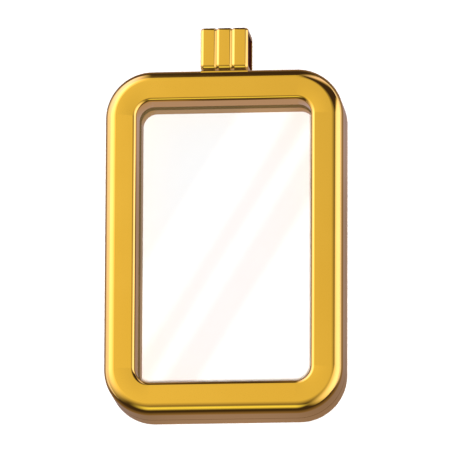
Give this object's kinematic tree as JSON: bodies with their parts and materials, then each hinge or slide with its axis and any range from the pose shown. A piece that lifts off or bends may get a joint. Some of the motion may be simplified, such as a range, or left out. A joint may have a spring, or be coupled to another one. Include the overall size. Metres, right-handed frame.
{
  "type": "frame pendant with clear window and ribbed bail",
  "caption": "Polished gold pendant: a thick picture-frame body with round corners in two halves, a clear pane between them and a ribbed square bail on top.",
  "frame": {"origin": "middle of the whole pendant's outline, bail included, on the plane that its back lies on", "axes": "+X to the wearer's left, which is the right of someone who looks at the front; +Y from the frame towards the bail; +Z out of the front face"},
  "size_m": [0.03, 0.0494, 0.0075],
  "materials": {
    "polished_gold": "mirror polished, gold plated",
    "clear_pane": "clear, polished"
  },
  "bodies": {
    "root": {"front_frame": "polished_gold", "back_frame": "polished_gold", "window": "clear_pane", "bail": "polished_gold"}
  },
  "joints": []
}
